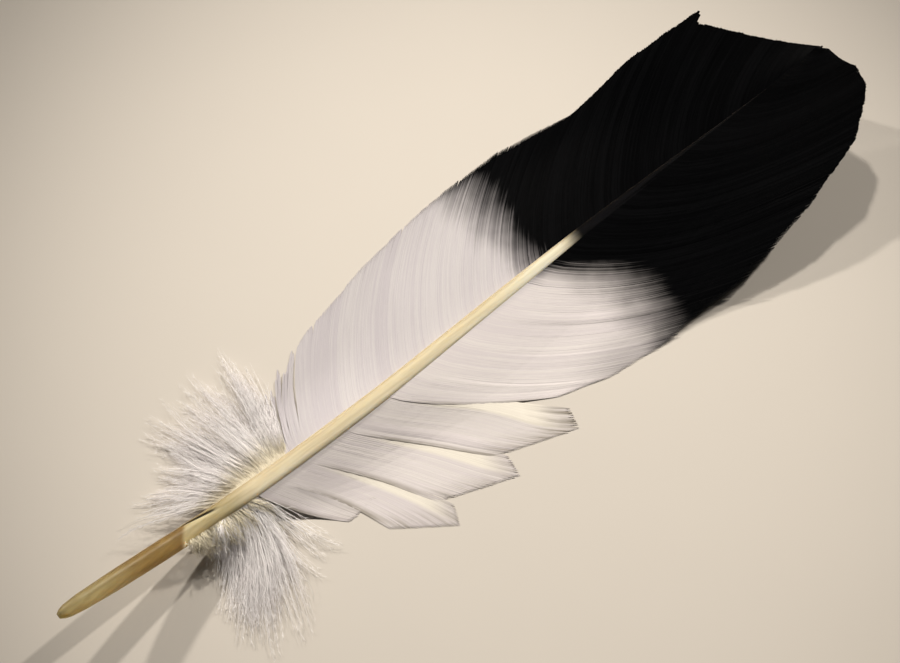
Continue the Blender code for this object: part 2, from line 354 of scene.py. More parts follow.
# Where along the shaft each colour of the horn takes over from the one before it, in millimetres; and how
# the quill's end slants, and how far the other edges wander.
HORN_STEPS = {
    "amber": (10.0, 34.0),
    "brown": (39.0, 47.0),
    "cream": (44.4, 46.6),
    "ivory": (59.0, 74.0),
    "pale": (165.0, 200.0),
}
HORN_BLACK = (199.0, 210.0)
HORN_SLANT = 0.78
HORN_WANDER = 7.0
SLANT_WANDER = 0.2
FIBRE_TINT = (0.5, 0.42, 0.3)
# Along the quill, where the painted glow on its right flank fades from the quill's to the shaft's; and how
# much lighter the shaft's right flank is painted, as painted light through the horn.
PAINTED_GLOW_SPAN = (38.0, 66.0)
SHAFT_PAINTED_GLOW = 1.1

# The camera looks down from beside the quill: where it looks, how far off it is, how steep its view is,
# and how far the shaft is turned in the picture.
CAMERA_TARGET = (-1.951, 4.618, 0.0)
CAMERA_DISTANCE = 600.0
CAMERA_ELEVATION = 72.0
SHAFT_TURN = 37.89
LENS = 72.26


def smooth_step(share):
    """0 to 1, with no slope at either end: 3 x squared less 2 x cubed."""
    share = np.clip(share, 0.0, 1.0)
    return share * share * (3.0 - 2.0 * share)


def passed(value, start, end):
    """0 up to the start, 1 from the end on, and the smooth step between them."""
    return smooth_step((value - start) / (end - start))


def shaft_size(s):
    """The shaft's width and depth at s, in straight lines between its sections."""
    along, width, depth = np.array(SHAFT_SECTIONS).T
    return np.interp(s, along, width), np.interp(s, along, depth)


def under_shaft(s):
    """The height of the shaft's underside: level where it is lowest, then a parabola to each end."""
    back = np.clip((LOWEST_FROM - s) / LOWEST_FROM, 0.0, None)
    ahead = np.clip((s - LOWEST_TO) / (SHAFT_LENGTH - LOWEST_TO), 0.0, None)
    return LOWEST_GAP + QUILL_RISE * back**2 + TIP_RISE * ahead**2


def sway(s):
    """How far the shaft's middle line lies to the left: a squared cosine for each bend."""
    left = np.zeros_like(s, float)
    for at, reach, amount in BENDS:
        turn = np.clip((s - at) / reach, -1.0, 1.0) * np.pi / 2
        left += amount * np.cos(turn) ** 2
    return left


def web_height(s, t, v, droop):
    """The height of a web's middle at s and t, a share v along its barbs.

    It sinks from the shaft to the table in an S-curve, by the distance from the shaft near the base and
    by v further on. Towards the tip it is free, and droops with the square of v. It passes smoothly from
    each form to the next.
    """
    half = WEB_HALF * (1.0 + (WEB_TIP_SHARE - 1.0) * v)
    root = under_shaft(s) + ATTACH_SHARE * shaft_size(s)[1]
    beyond = passed(s, *BASE_SPAN)
    sunk = v / FLAT_FROM * beyond + t / BASE_FLAT_FROM * (1.0 - beyond)
    lying = (root - WEB_HALF) * (1.0 - smooth_step(sunk)) + half
    free = root - droop * v**2
    return lying + (free - lying) * passed(s, *FREE_SPAN)


def beside_shaft(s, t, share, reach):
    """How much higher a web stands beside the shaft: a share of its depth, less with a power of t."""
    return share * shaft_size(s)[1] * np.clip(1.0 - t / reach, 0.0, 1.0) ** COLLAR_POWER


def quill_point():
    """Where s and t are zero in the frame, in millimetres: the middle of the solid shaft's low end."""
    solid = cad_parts["shaft"].data
    points = np.zeros(len(solid.vertices) * 3, np.float32)
    solid.vertices.foreach_get("co", points)
    points = points.reshape(-1, 3) / MM
    ring = points[points[:, 0] < points[:, 0].min() + 0.01]
    return float(ring[:, 0].mean()), float((ring[:, 1].min() + ring[:, 1].max()) / 2)


QUILL_X, QUILL_Y = quill_point()


def lines_between(stations, roots):
    """The lengths and angles of barbs with these roots, in straight lines between the stations."""
    stations = sorted(stations)
    at = [station[0] for station in stations]
    lengths = np.interp(roots, at, [station[1] for station in stations])
    columns = np.array([station[2] for station in stations], float).T
    return lengths, np.stack([np.interp(roots, at, column) for column in columns], axis=1)


def barb_paths(roots, lengths, angles, ahead=0.0, rings=BARB_RINGS):
    """Barbs in the web's plane, as arrays of barbs by rings: s, distance from the middle line, share v.

    Each path turns steadily between its four angles, and its place is the running sum of the cosines
    and sines of its turn. It is then swept forward, by a power of v, until its tip is that far ahead.
    The rings crowd towards the tip.
    """
    steps = 1.0 - (1.0 - np.linspace(0.0, 1.0, (rings - 1) * PATH_SUBSTEPS + 1)) ** RING_CROWDING
    reach = lengths[:, None] * steps
    fused = np.minimum(FUSED, FUSED_SHARE * lengths)[:, None]
    v = np.clip((reach - fused) / (lengths[:, None] - fused), 0.0, 1.0)
    low = np.minimum((v * 3).astype(int), 2)
    share = v * 3 - low
    turn = np.take_along_axis(angles, low, 1) * (1 - share) + np.take_along_axis(angles, low + 1, 1) * share
    turn = np.radians((turn[:, 1:] + turn[:, :-1]) / 2)
    run = np.diff(reach, axis=1)
    start = np.zeros((len(roots), 1))
    s = roots[:, None] + np.hstack([start, np.cumsum(np.cos(turn) * run, axis=1)])
    t = np.hstack([start, np.cumsum(np.sin(turn) * run, axis=1)])
    s += np.reshape(ahead, (-1, 1)) * v**SWEEP_POWER
    t += (shaft_size(roots)[0] / 2 + ROOT_GAP)[:, None]
    t[:, 0] -= ROOT_TUCK
    keep = slice(None, None, PATH_SUBSTEPS)
    return s[:, keep], t[:, keep], v[:, keep]


def place(s, t, z, side):
    """Points in the frame from places on the feather: s from the quill's point, t from the middle line."""
    return np.stack([QUILL_X + s, QUILL_Y + sway(s) + side * t, z], axis=-1)


def side_frames(points):
    """For each point of each path, the unit vectors along it, to its left, and up and square to both."""
    along = np.gradient(points, axis=1)
    along /= np.linalg.norm(along, axis=2, keepdims=True)
    left = np.cross(np.array([0.0, 0.0, 1.0]), along)
    left /= np.linalg.norm(left, axis=2, keepdims=True) + 1e-9
    return along, left, np.cross(along, left)


def strand_shell(points, half_width, half_height, sides, tilt=0.0):
    """Vertices and faces of closed strands round paths, an array of strands by rings by x, y and z.

    Each ring is an ellipse with that many corners, square to its path and rolled by the tilt. Each end
    is closed by a fan round the path's own end point.
    """
    _, left, up = side_frames(points)
    corner = np.arange(sides) * 2 * np.pi / sides
    wide = half_width[..., None] * np.cos(corner)
    high = half_height[..., None] * np.sin(corner)
    roll = np.broadcast_to(tilt, points.shape[:2])[..., None]
    across = wide * np.cos(roll) - high * np.sin(roll)
    upward = wide * np.sin(roll) + high * np.cos(roll)
    shell = points[:, :, None] + left[:, :, None] * across[..., None] + up[:, :, None] * upward[..., None]
    return close_shells(shell, points[:, 0], points[:, -1])


def close_shells(shell, first, last):
    """Vertices and faces of tubes given as strands by rings by corners, with an end point each way."""
    strands, rings, sides = shell.shape[:3]
    body = strands * rings * sides
    index = np.arange(body).reshape(strands, rings, sides)
    onward = np.roll(index, -1, axis=2)
    quads = np.stack([index[:, :-1], onward[:, :-1], onward[:, 1:], index[:, 1:]], axis=-1).reshape(-1, 4)
    low = np.broadcast_to((body + np.arange(strands))[:, None], (strands, sides))
    high = low + strands
    fans = np.concatenate([
        np.stack([low, onward[:, 0], index[:, 0]], axis=-1).reshape(-1, 3),
        np.stack([high, index[:, -1], onward[:, -1]], axis=-1).reshape(-1, 3),
    ])
    return np.concatenate([shell.reshape(-1, 3), first, last]), quads, fans


def per_vertex(values, strands, rings, sides):
    """Spreads one value a strand, or one a ring, over the vertices that close_shells gives."""
    values = np.broadcast_to(np.reshape(values, (strands, -1)), (strands, rings))
    return np.concatenate([np.repeat(values.ravel(), sides), values[:, 0], values[:, -1]])


def join_parts(parts):
    """One set of vertices, quads and triangles from several."""
    vertices, quads, fans, offset = [], [], [], 0
    for part_vertices, part_quads, part_fans in parts:
        vertices.append(part_vertices)
        quads.append(part_quads + offset)
        fans.append(part_fans + offset)
        offset += len(part_vertices)
    return np.concatenate(vertices), np.concatenate(quads), np.concatenate(fans)


def make_piece(name, part, material, replaced, slot, uv=None, attributes=None, rim=None, smooth=True):
    """A mesh object from arrays in millimetres, with its UV map and attributes, riding on the root.

    The edges between two vertices of the rim are sharp.
    """
    vertices, quads, fans = part
    mesh = bpy.data.meshes.new(name)
    mesh.vertices.add(len(vertices))
    mesh.vertices.foreach_set("co", (vertices * MM).astype(np.float32).ravel())
    corners = np.concatenate([quads.ravel(), fans.ravel()]).astype(np.int32)
    totals = np.concatenate([np.full(len(quads), 4), np.full(len(fans), 3)]).astype(np.int32)
    mesh.loops.add(len(corners))
    mesh.loops.foreach_set("vertex_index", corners)
    mesh.polygons.add(len(totals))
    mesh.polygons.foreach_set("loop_start", (np.cumsum(totals) - totals).astype(np.int32))
    mesh.polygons.foreach_set("loop_total", totals)
    mesh.polygons.foreach_set("use_smooth", np.full(len(totals), smooth))
    if uv is not None:
        layer = mesh.uv_layers.new(name="barb_map")
        layer.data.foreach_set("uv", uv[corners].astype(np.float32).ravel())
    for attribute, values in (attributes or {}).items():
        made = mesh.attributes.new(attribute, "FLOAT", "POINT")
        made.data.foreach_set("value", values.astype(np.float32))
    mesh.update(calc_edges=True)
    if rim is not None:
        ends = np.zeros(len(mesh.edges) * 2, np.int32)
        mesh.edges.foreach_get("vertices", ends)
        mesh.edges.foreach_set("use_edge_sharp", rim[ends].reshape(-1, 2).all(axis=1))
    mesh.validate()
    mesh.materials.append(material)
    piece = bpy.data.objects.new(name, mesh)
    bpy.context.scene.collection.objects.link(piece)
    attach(piece, "root")
    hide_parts(replaced)
    return piece


def spread(count, low, high, ragged, jitter):
    """Even steps from low to high, each moved at random by up to a share of a step."""
    step = (high - low) / count
    return low + step * (np.arange(count) + 0.5 + jitter * ragged.uniform(-0.5, 0.5, count))


def clumps_of(roots, width, ragged):
    """Gathers barbs in clumps of about that width: each barb's clump, its place in it, and its middle.

    The widths are lognormal, and the place goes from -1 to 1.
    """
    span = roots.max() - roots.min()
    widths = width * np.exp(ragged.normal(0.0, 0.5, int(3 * span / width) + 4))
    edges = roots.min() - 0.01 + np.concatenate([[0.0], np.cumsum(widths)])
    edges = np.append(edges[edges < roots.max() - 0.3 * width], roots.max() + 0.01)
    clump = np.clip(np.searchsorted(edges, roots) - 1, 0, len(edges) - 2)
    middle = (edges[clump] + edges[clump + 1]) / 2
    half = (edges[clump + 1] - edges[clump]) / 2
    return clump, (roots - middle) / half, middle


def swept_ahead(roots, first, last, sweep):
    """How far ahead of its own line each barb ends: nothing at the web's ends, and the sweep halfway."""
    share = np.clip((roots - first) / (last - first), 0.0, 1.0)
    return sweep * 4 * share * (1.0 - share)


def barb_widths(points, v, roots, fluffy, settings):
    """Half the width and half the height of each barb at each ring.

    The width is a share of the distance to the barbs beside it. A barb narrows at its end, and is
    thinner where it is fluffy and where its end is frayed.
    """
    left = side_frames(points)[1]
    gap = np.abs(np.einsum("nrc,nrc->nr", np.diff(points, axis=0), (left[1:] + left[:-1]) / 2))
    gap = np.vstack([gap, gap[-1:]])
    gap = np.clip(np.maximum(gap, np.vstack([gap[:1], gap[:-1]])), *GAP_LIMITS)
    closed = settings.overlap * (1.0 - END_OPENING * passed(v, END_OPENS_FROM, 1.0))
    pointing = WHITE_POINT + (BLACK_POINT - WHITE_POINT) * passed(roots, *BLACK_SPAN)[:, None]
    pointed = 1.0 - pointing * passed(v, POINTED_FROM, 1.0)
    frayed = (1.0 - passed(roots, *FRAYED_SPAN))[:, None] * passed(v, FRAYED_FROM, 1.0)
    thinner = (1.0 - FLUFF_THINNER * fluffy[:, None]) * (1.0 - FRAY_THINNER * frayed)
    return gap * closed * pointed / 2 * thinner, settings.barb_thickness / MM / 2 * pointed


def barb_marks(roots, clump, v, stretch, side, darker_tint, ragged):
    """Each barb's tone, how far the dye ran along it, and at each ring how much darker it is and how strong
    its painted highlight is.

    A lock is a little darker all over, and more, in streaks, towards its tip. Each web on the right has
    painted shadow along its rear edge, and each lock has a painted highlight on a cream rim where it goes
    under the next web, both between the shaft and the tip.
    """
    first, last = stretch
    count, clumps = len(roots), clump.max() + 1
    tone = TONE_SCATTER * ragged.normal(0, 1, count) + TONE_SCATTER * ragged.normal(0, 1, clumps)[clump]
    dye = ragged.normal(0.0, BARB_DYE, count) + ragged.normal(0.0, CLUMP_DYE, clumps)[clump]
    darker_tip, darker_tip_from = darker_tint
    is_lock = darker_tip > 0
    grime = darker_tip * passed(v, darker_tip_from, 1.0) * ragged.uniform(LEAST_TIP_DARKENING, 1.0, (count, 1))
    within = passed(v, 0.0, SLIT_FROM) * (1.0 - passed(v, SLIT_UNTIL, 1.0))
    # Painted shadow along a web's rear edge, behind a slit.
    behind = (1.0 - passed(roots, first, first + SLIT_SHADE))[:, None] * within * (side < 0)
    hidden_from = last - OVERLAP_LOCKS
    # Painted highlight on a lock's cream rim before the next web.
    pale = passed(roots, hidden_from - SLIT_HIGHLIGHT_WIDTH, hidden_from)[:, None] * within * is_lock
    grime = grime + LOCK_DARKENING * is_lock + SLIT_PAINTED_SHADOW * behind
    return {"tone": tone, "dye_shift": dye, "grime": grime, "pale": pale}


def barb_web(
    stations, side, droop, settings, ragged, sweep=0.0, lift=(1.0, 0.0), darker_tint=(0.0, 0.5), sunk=0.0
):
    """One stretch of a vane as barbs: its vertices and faces, with a UV, attributes and a rim for them.

    Each barb follows its line, swept ahead, and is drawn a little towards the middle of its clump near
    its tip. Its height is the web's height and the collar beside the shaft, with a ridge over each clump,
    and a lift towards the stretch's rear edge that rises and falls along the barb as 4 v times 1 less v.
    A lock lies lower by what it is sunk.
    """
    first, last = min(stations)[0], max(stations)[0]
    count = max(FEWEST_BARBS, round((last - first) / (settings.barb_spacing / MM)))
    roots = spread(count, first, last, ragged, ROOT_JITTER)
    clump, inside, middle = clumps_of(roots, settings.clump_width / MM, ragged)
    clumps = clump.max() + 1
    parting = (settings.parting * ragged.beta(*PARTING_SHAPE, clumps) * PARTING_SCALE)[clump]
    parting = parting * (1.0 - PARTING_CLOSED * passed(middle, *PARTING_SPAN))
    fluffy = (1.0 - passed(roots, *FLUFFY_SPAN)) * (side > 0)

    ahead = swept_ahead(roots, first, last, sweep)
    lengths, angles = lines_between(stations, roots + ahead)
    short = np.minimum(1.0, lengths / SHORT_BARB)
    lengths = lengths + short * (
        ragged.normal(0.0, BARB_UNEVEN, count)
        + ragged.normal(0.0, CLUMP_UNEVEN, clumps)[clump]
        - CLUMP_POINT * parting * np.abs(inside) ** 5
    )
    lengths = lengths * (1.0 - FLUFF_SHORTER * fluffy * ragged.uniform(0.0, 1.0, count))
    turned = ragged.normal(0.0, CLUMP_TURN, clumps)[clump]
    turned = turned + ragged.normal(0.0, FLUFF_TURN, count) * fluffy
    s, t, v = barb_paths(roots, lengths, angles + turned[:, None], ahead)
    middle_ahead = swept_ahead(middle, first, last, sweep)
    middle_s, middle_t, _ = barb_paths(middle, *lines_between(stations, middle + middle_ahead), middle_ahead)
    draw = (CLUMP_DRAW * parting * short)[:, None] * v**5
    s = s + draw * (middle_s - s)
    t = t + draw * (middle_t - t)

    bulge = 4 * v * (1 - v)
    ridge = (CLUMP_RIDGE * parting * (1 - inside**2))[:, None] * bulge
    lean = (ragged.normal(0.0, CLUMP_LEAN, clumps)[clump] * inside)[:, None] * v
    loose = np.abs(ragged.normal(0.0, BARB_LOOSE, count))[:, None] * v**4
    lift_reach, lifted = lift
    raised = lifted * (1.0 - passed(roots, first, first + lift_reach))[:, None] * bulge
    share, reach, begins = LEFT_COLLAR if side > 0 else RIGHT_COLLAR
    collar = beside_shaft(s, t, share, reach) * passed(roots, begins, begins + COLLAR_FADE)[:, None]
    fluff = (fluffy * np.abs(ragged.normal(0.0, FLUFF_RISE, count)))[:, None] * v
    z = web_height(s, t, v, droop) + short[:, None] * (ridge + lean + loose) + raised + collar + fluff
    z = z - sunk * passed(t, 0.0, SUNK_REACH) * (1.0 - v**3) - TIP_SINK * v
    points = place(s, t, np.maximum(z, LOWEST_BARB), side)

    tilt = settings.barb_tilt * (1.0 if side > 0 else RIGHT_TILT)
    part = strand_shell(points, *barb_widths(points, v, roots, fluffy, settings), BARB_SIDES, tilt)
    shape = (count, BARB_RINGS, BARB_SIDES)
    uv = np.stack([per_vertex(roots, *shape), per_vertex(lengths[:, None] * v, *shape)], axis=1) / UV_UNIT
    marks = barb_marks(roots, clump, v, (first, last), side, darker_tint, ragged)
    attributes = {name: per_vertex(values, *shape) for name, values in marks.items()}
    rim = np.zeros(shape, bool)
    rim[:, :, ::2] = True
    rim[:, (0, -1)] = True
    return part, uv, attributes, np.concatenate([rim.ravel(), np.zeros(2 * count, bool)])


def join_webs(webs):
    """Several webs as one: their faces, UVs, attributes and rims in the same order."""
    part = join_parts([web[0] for web in webs])
    uv = np.concatenate([web[1] for web in webs])
    attributes = {name: np.concatenate([web[2][name] for web in webs]) for name in webs[0][2]}
    return part, uv, attributes, np.concatenate([web[3] for web in webs])


def down_wisps(stations, crowd, side, settings, ragged, painted_shade=0.0):
    """A tuft of down: wisps that fan out, each a lock of long hairs with short barbules along them.

    A wisp's root, length and angles lie between the stations' own with some scatter. Its hairs start
    together, spread apart as 4 v times 1 less v, and meet again at its tip. It waves as a sine, and rises
    over its neighbours as 4 v times 1 less v. Each hair has a tone, and a darker tint: all along it where the
    tuft is given painted shade, as on the short fuzz, and fading from its root on the left.
    """
    share = min(1.0, sum(crowd) / FULL_CROWD)
    wisps, hairs = round(settings.wisps * share), settings.hairs
    count = wisps * hairs
    filled = np.concatenate([[0.0], np.cumsum(np.array(crowd[1:]) + crowd[:-1])])
    mix = np.interp(spread(wisps, 0.0, filled[-1], ragged, 1.0), filled, np.arange(len(stations)))
    columns = np.array([(row[0], row[1], *row[2]) for row in stations], float).T
    root, length, *angles = [np.interp(mix, np.arange(len(stations)), column) for column in columns]
    angles = np.stack(angles, axis=1)
    angles += ragged.normal(0.0, WISP_TURN, (wisps, 1)) + ragged.normal(0.0, WISP_BEND, (wisps, 4))
    away = np.abs(mix - np.round(mix)) * 2
    length = length * (1.0 - WISP_FALL * away) * ragged.uniform(*WISP_LENGTHS, wisps)
    wave = ragged.uniform(*WISP_WAVES, wisps)
    turns = ragged.uniform(*WAVE_TURNS, wisps)
    height = ragged.gamma(*WISP_HEIGHTS, wisps)
    girth = ragged.uniform(*WISP_GIRTHS, wisps)

    owner = np.repeat(np.arange(wisps), hairs)
    roots = root[owner] + ragged.normal(0.0, HAIR_ROOT, count)
    lengths = length[owner] * (1.0 - np.abs(ragged.normal(0.0, HAIR_SHORTER, count)))
    bends = angles[owner] + ragged.normal(0.0, HAIR_BEND, (count, 1))
    s, t, v = barb_paths(roots, lengths, bends, 0.0, settings.hair_rings)
    bulge = 4 * v * (1 - v)
    aside = (ragged.normal(0.0, HAIR_ASIDE, count) * girth[owner])[:, None] * bulge
    swing = wave[owner][:, None] * np.sin((v + 1.0) * turns[owner][:, None]) * v
    crimp = ragged.normal(0.0, HAIR_CRIMP, (count, 1))
    crimp = crimp * np.sin(v * CRIMP_TURNS + ragged.uniform(0.0, CRIMP_PHASE, (count, 1)))
    heading = np.radians(bends[:, 1:3].mean(axis=1))[:, None]
    drift = aside + swing + crimp * v
    s = s - np.sin(heading) * drift
    t = t + np.cos(heading) * drift - HAIR_TUCK
    puff = (height[owner] + ragged.normal(0.0, HAIR_PUFF, count))[:, None] * bulge * PUFF_SHARE
    curl = np.abs(ragged.normal(0.0, HAIR_CURL, count))[:, None] * v**3
    collar = beside_shaft(s, t, DOWN_COLLAR if side < 0 else 0.0, DOWN_REACH)
    z = np.maximum(web_height(s, t, v, 0.0) + puff + curl + collar, LOWEST_HAIR)
    points = place(s, t, z, side)
    girths = settings.hair_thickness / MM / 2 * (1.0 - HAIR_TAPER * v**TAPER_POWER)
    stems = hair_shells(points, girths, ragged.normal(0.0, HAIR_ROLL, (count, 1)))
    tone = WISP_TONE * ragged.normal(0.0, 1.0, wisps)[owner] + HAIR_TONE * ragged.normal(0.0, 1.0, count)

    barbules, bearer, where = barbule_shells(points, round(settings.barbules * share), settings, ragged)
    # Painted shade all along a hair where the tuft is given it; on the left, a darker, yellower tint that
    # fades from the root.
    by_root = ROOT_TINT * (side > 0)
    tint_and_shade = [painted_shade + by_root * (1.0 - passed(along, 0.0, TINTED_UNTIL)) for along in (v, where)]
    hair_shape = (count, points.shape[1], HAIR_SIDES)
    barbule_shape = (len(bearer), len(BARBULE_TAPER), HAIR_SIDES)
    attributes = {
        name: np.concatenate([per_vertex(on_hairs, *hair_shape), per_vertex(on_barbules, *barbule_shape)])
        for name, (on_hairs, on_barbules) in {"tone": (tone, tone[bearer]), "darker_tint": tint_and_shade}.items()
    }
    return join_parts([stems, barbules]), attributes


def hair_shells(points, girths, roll=0.0):
    """Closed flattened strands round the paths of hairs or barbules, rolled by that much."""
    return strand_shell(points, HAIR_WIDE * girths, HAIR_HIGH * girths, HAIR_SIDES, roll)


def barbule_shells(points, number, settings, ragged):
    """The barbules of a tuft, the hair that bears each one, and where along the hair it starts.

    A barbule starts at a random share of a random hair, and bends from aslant of it to along it.
    """
    count, rings = points.shape[:2]
    bearer = np.sort(ragged.integers(0, count, number))
    where = ragged.uniform(*BARBULE_PLACES, number)
    low = (where * (rings - 1)).astype(int)
    start, forward, sideways, upward = (field[bearer, low] for field in (points, *side_frames(points)))
    start = start + (points[bearer, low + 1] - start) * (where * (rings - 1) - low)[:, None]
    hand = ragged.choice([-1.0, 1.0], (number, 1))
    size = settings.barbule_length / MM * ragged.uniform(*BARBULE_SIZES, (number, 1))
    size = size * (1.0 - BARBULE_SHORTER * where[:, None])
    splay = ragged.uniform(*BARBULE_SPLAY, (number, 1))
    rise = ragged.normal(0.0, BARBULE_RISE, (number, 1))
    hook = size * (forward + hand * sideways * splay + upward * rise)
    end = start + hook * BARBULE_HOOK + forward * size * BARBULE_ONWARD
    paths = np.stack([start, start + hook * BARBULE_MIDDLE, end], axis=1)
    paths[..., 2] = np.maximum(paths[..., 2], LOWEST_HAIR)
    girths = np.broadcast_to(np.array(BARBULE_TAPER) * settings.hair_thickness / MM / 2, paths.shape[:2])
    return hair_shells(paths, girths), bearer, where


def add_group(name, inputs, outputs):
    """An empty shader node group with these sockets, each given as a name and its kind."""
    group = bpy.data.node_groups.new(name, "ShaderNodeTree")
    for socket, kind in inputs:
        group.interface.new_socket(socket, in_out="INPUT", socket_type=kind)
    for socket, kind in outputs:
        group.interface.new_socket(socket, in_out="OUTPUT", socket_type=kind)
    return group, group.nodes.new("NodeGroupInput"), group.nodes.new("NodeGroupOutput")


def math_node(tree, operation, *values, clamp=False):
    """A Math node, its inputs given as numbers or as sockets to link, and its output."""
    node = tree.nodes.new("ShaderNodeMath")
    node.operation = operation
    node.use_clamp = clamp
    for socket, value in zip(node.inputs, values):
        if isinstance(value, (int, float)):
            socket.default_value = value
        else:
            tree.links.new(value, socket)
    return node.outputs[0]


def ease_node(tree, value, low, high, out_low=0.0, out_high=1.0):
    """A Map Range node that passes smoothly from one output value to the other."""
    node = tree.nodes.new("ShaderNodeMapRange")
    node.interpolation_type = "SMOOTHSTEP"
    for socket, amount in zip(node.inputs[1:5], (low, high, out_low, out_high)):
        socket.default_value = amount
    tree.links.new(value, node.inputs[0])
    return node.outputs[0]


def mix_colour(tree, share, first, second, blend="MIX"):
    """A Mix node for colours, its share a number or a socket, its colours three numbers or a socket."""
    node = tree.nodes.new("ShaderNodeMix")
    node.data_type = "RGBA"
    node.blend_type = blend
    for socket, value in ((node.inputs[0], share), (node.inputs[6], first), (node.inputs[7], second)):
        if isinstance(value, bpy.types.NodeSocket):
            tree.links.new(value, socket)
        elif isinstance(value, float):
            socket.default_value = value
        else:
            socket.default_value = (*value, 1.0)
    return node.outputs[2]


def noise_node(tree, vector, scale, detail=2.0, roughness=0.5):
    """A Noise Texture's value at that scale."""
    node = tree.nodes.new("ShaderNodeTexNoise")
    node.inputs["Scale"].default_value = scale
    node.inputs["Detail"].default_value = detail
    node.inputs["Roughness"].default_value = roughness
    tree.links.new(vector, node.inputs["Vector"])
    return node.outputs[0]


def stretch_node(tree, vector, scale):
    """A Mapping node that stretches a pattern by these factors."""
    node = tree.nodes.new("ShaderNodeMapping")
    node.inputs["Scale"].default_value = scale
    tree.links.new(vector, node.inputs["Vector"])
    return node.outputs[0]


def dye_edge_group():
    """A group that says how far the dye has taken, from 0 to 1.

    Its edge lies at the start's place. On the left it runs nearly straight across, and turns back along
    the rim; on the right it moves on by a parabola of the distance from the shaft. It grows softer away
    from the shaft, and a little dye has rubbed off along the right vane's outer edge. Each barb carries
    it a little further or less far.
    """
    group, given, result = add_group(
        "Dye edge",
        [("Position", "NodeSocketVector"), ("Barb Shift", "NodeSocketFloat"), ("Start", "NodeSocketFloat"),
         ("Softness", "NodeSocketFloat"), ("Streaks", "NodeSocketFloat")],
        [("Dyed", "NodeSocketFloat")],
    )
    split = group.nodes.new("ShaderNodeSeparateXYZ")
    group.links.new(given.outputs["Position"], split.inputs[0])
    along = math_node(group, "ADD", split.outputs[0], -QUILL_X * MM)
    across = math_node(group, "ADD", split.outputs[1], -QUILL_Y * MM)
    right = math_node(group, "MINIMUM", across, 0.0)
    left = math_node(group, "MAXIMUM", across, 0.0)

    short_of = math_node(group, "ADD", math_node(group, "DIVIDE", right, DYE_SLANT_WIDTH), 1.0)
    slant = math_node(group, "SUBTRACT", 1.0, math_node(group, "MULTIPLY", short_of, short_of))
    edge = math_node(group, "ADD", given.outputs["Start"], math_node(group, "MULTIPLY", slant, DYE_SLANT))
    edge = math_node(group, "ADD", edge, math_node(group, "MULTIPLY", left, DYE_LEAN))
    edge = math_node(group, "SUBTRACT", edge, ease_node(group, left, *DYE_RIM, 0.0, DYE_RIM_BACK))
    cloud = math_node(group, "ADD", noise_node(group, given.outputs["Position"], DYE_CLOUDS, 3.0), -0.5)
    shift = math_node(group, "MULTIPLY", given.outputs["Barb Shift"], given.outputs["Streaks"])
    shift = math_node(group, "ADD", shift, math_node(group, "MULTIPLY", cloud, DYE_UNEVEN))
    beyond = math_node(group, "SUBTRACT", math_node(group, "SUBTRACT", along, edge), shift)

    on_left = math_node(group, "MULTIPLY", left, LEFT_SOFTENING)
    on_right = math_node(group, "MULTIPLY", right, RIGHT_SOFTENING)
    widening = math_node(group, "SUBTRACT", on_left, on_right)
    wide = math_node(group, "ADD", given.outputs["Softness"], widening)
    share = math_node(group, "ADD", math_node(group, "DIVIDE", beyond, wide), 0.5)
    rub = ease_node(group, right, *RUBBED_ACROSS, RUBBED, 0.0)
    rubbed = math_node(group, "MULTIPLY", rub, ease_node(group, along, *RUBBED_ALONG))
    dyed = math_node(group, "MAXIMUM", ease_node(group, share, 0.0, 1.0), rubbed)
    group.links.new(dyed, result.inputs["Dyed"])
    return group


def barb_grain_group():
    """A group for the finest grain, as a height: barbules that slant across each barb, and its streaks."""
    group, given, result = add_group(
        "Barb grain",
        [("Barb Map", "NodeSocketVector"), ("Depth", "NodeSocketFloat")],
        [("Height", "NodeSocketFloat"), ("Streak", "NodeSocketFloat")],
    )
    wave = group.nodes.new("ShaderNodeTexWave")
    wave.wave_type = "BANDS"
    wave.bands_direction = "DIAGONAL"
    wave.inputs["Scale"].default_value = 260.0
    wave.inputs["Distortion"].default_value = 1.2
    group.links.new(given.outputs["Barb Map"], wave.inputs["Vector"])
    stretched = stretch_node(group, given.outputs["Barb Map"], (160.0, 5.0, 1.0))
    streak = noise_node(group, stretched, 1.0, 3.0, 0.6)
    height = math_node(group, "ADD", math_node(group, "MULTIPLY", wave.outputs["Fac"], 0.35), streak)
    group.links.new(math_node(group, "MULTIPLY", height, given.outputs["Depth"]), result.inputs["Height"])
    group.links.new(streak, result.inputs["Streak"])
    return group


def group_node(tree, group, **values):
    """A node that holds a group, with numbers set and sockets linked by their names."""
    node = tree.nodes.new("ShaderNodeGroup")
    node.node_tree = group
    for name, value in values.items():
        socket = node.inputs[name.replace("_", " ")]
        if isinstance(value, bpy.types.NodeSocket):
            tree.links.new(value, socket)
        else:
            socket.default_value = value
    return node


def new_material(name, roughness, specular=0.5):
    """A material with a Principled BSDF: its node tree and its shader."""
    material = bpy.data.materials.new(name)
    material.use_nodes = True
    shader = material.node_tree.nodes["Principled BSDF"]
    shader.inputs["Roughness"].default_value = roughness
    shader.inputs["Specular IOR Level"].default_value = specular
    return material, material.node_tree, shader


def attribute_node(tree, name):
    """The value of a piece's own attribute."""
    node = tree.nodes.new("ShaderNodeAttribute")
    node.attribute_name = name
    return node.outputs["Fac"]


def object_position(tree):
    """The place on the piece, in metres."""
    return tree.nodes.new("ShaderNodeTexCoord").outputs["Object"]


def bump_into(tree, shader, height, distance, strength=1.0):
    """Feeds a height to the shader's normal."""
    bump = tree.nodes.new("ShaderNodeBump")
    bump.inputs["Strength"].default_value = strength
    bump.inputs["Distance"].default_value = distance
    tree.links.new(height, bump.inputs["Height"])
    tree.links.new(bump.outputs[0], shader.inputs["Normal"])


